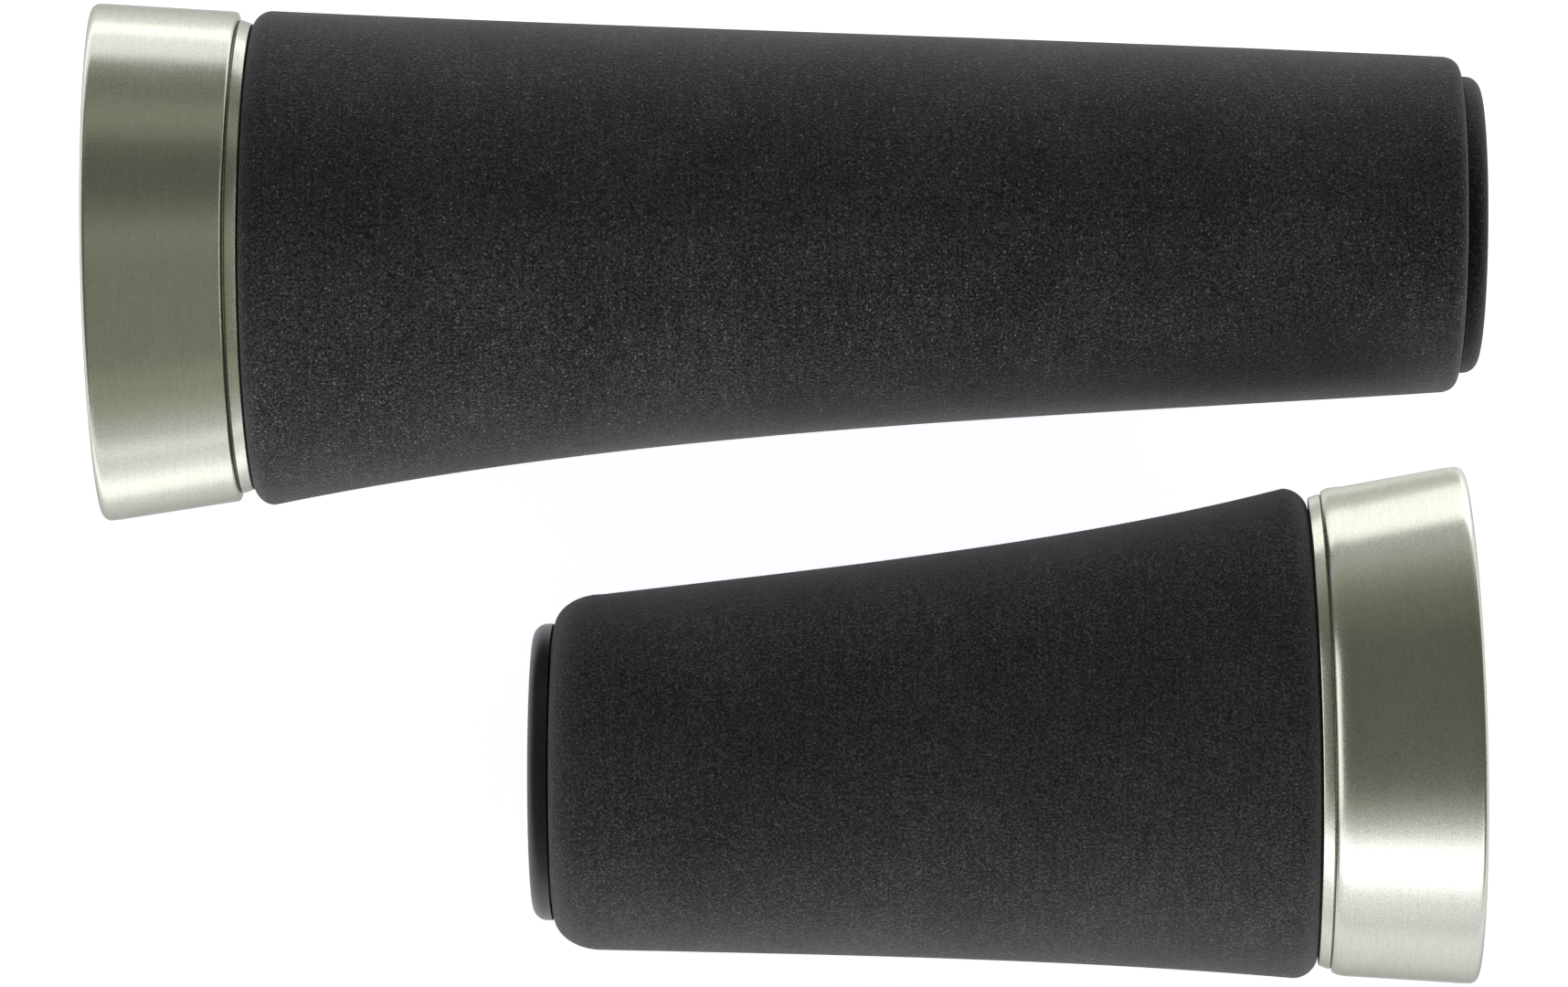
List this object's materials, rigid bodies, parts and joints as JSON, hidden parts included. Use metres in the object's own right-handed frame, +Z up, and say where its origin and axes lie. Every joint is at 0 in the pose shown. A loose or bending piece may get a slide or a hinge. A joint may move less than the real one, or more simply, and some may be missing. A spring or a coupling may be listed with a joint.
{
  "type": "handlebar grips",
  "caption": "Ergonomic handlebar grips, long and short, with ground-rubber palm wings, nylon cores and oval satin-metal end rings.",
  "frame": {"origin": "on the surface the pair lies on, under the middle of the pair", "axes": "+X to the right along the bars, +Y away from the viewer to the long left grip, +Z up"},
  "size_m": [0.1363, 0.0956, 0.0404],
  "materials": {
    "ground_rubber": "matt, ground round the grip, with fine specks",
    "black_nylon": "satin moulded",
    "cover_plastic": "fine spark texture",
    "filled_nylon": "glass-filled, matt",
    "satin_nickel": "satin nickel plate over brushed aluminium",
    "raw_aluminium": "turned",
    "fastener_steel": "black zinc"
  },
  "bodies": {
    "left_grip": {"left_core_sleeve": "black_nylon", "left_grip_body": "ground_rubber", "left_backing_ring": "satin_nickel", "left_end_ring": "satin_nickel", "left_ring_screws": "fastener_steel", "left_expander_washer": "fastener_steel", "left_expander_collet": "filled_nylon"},
    "left_bolt": {"left_expander_bolt": "fastener_steel"},
    "left_nut": {"left_expander_nut": "raw_aluminium"},
    "left_cover": {"left_end_cover": "cover_plastic"},
    "right_grip": {"right_core_sleeve": "black_nylon", "right_grip_body": "ground_rubber", "right_backing_ring": "satin_nickel", "right_end_ring": "satin_nickel", "right_ring_screws": "fastener_steel", "right_expander_washer": "fastener_steel", "right_expander_collet": "filled_nylon"},
    "right_bolt": {"right_expander_bolt": "fastener_steel"},
    "right_nut": {"right_expander_nut": "raw_aluminium"},
    "right_cover": {"right_end_cover": "cover_plastic"}
  },
  "joints": [
    {"name": "right_grip_lift", "type": "slide", "parent": "left_grip", "child": "right_grip", "axis": [0, 0, 1], "range_m": [0, 0.08]},
    {"name": "left_bolt_turn", "type": "hinge", "parent": "left_grip", "child": "left_bolt", "pos_m": [-0.0567, 0.02715, 0.01993], "axis": [0.9996, -0.007, -0.029], "range_deg": [0, 1080]},
    {"name": "left_nut_draw", "type": "slide", "parent": "left_grip", "child": "left_nut", "axis": [-0.9996, 0.007, 0.029], "range_m": [0, 0.0024]},
    {"name": "left_cover_pull", "type": "slide", "parent": "left_grip", "child": "left_cover", "axis": [-0.9996, 0.007, 0.029], "range_m": [0, 0.025]},
    {"name": "right_bolt_turn", "type": "hinge", "parent": "right_grip", "child": "right_bolt", "pos_m": [0.05671, -0.02722, 0.01989], "axis": [-0.9995, 0, -0.0327], "range_deg": [0, 1080]},
    {"name": "right_nut_draw", "type": "slide", "parent": "right_grip", "child": "right_nut", "axis": [0.9995, 0, 0.0327], "range_m": [0, 0.0024]},
    {"name": "right_cover_pull", "type": "slide", "parent": "right_grip", "child": "right_cover", "axis": [0.9995, 0, 0.0327], "range_m": [0, 0.025]}
  ],
  "couplings": [
    {"joint": "left_bolt_turn", "follows": "left_nut_draw", "rad_per_m": 7854},
    {"joint": "right_bolt_turn", "follows": "right_nut_draw", "rad_per_m": 7854}
  ]
}
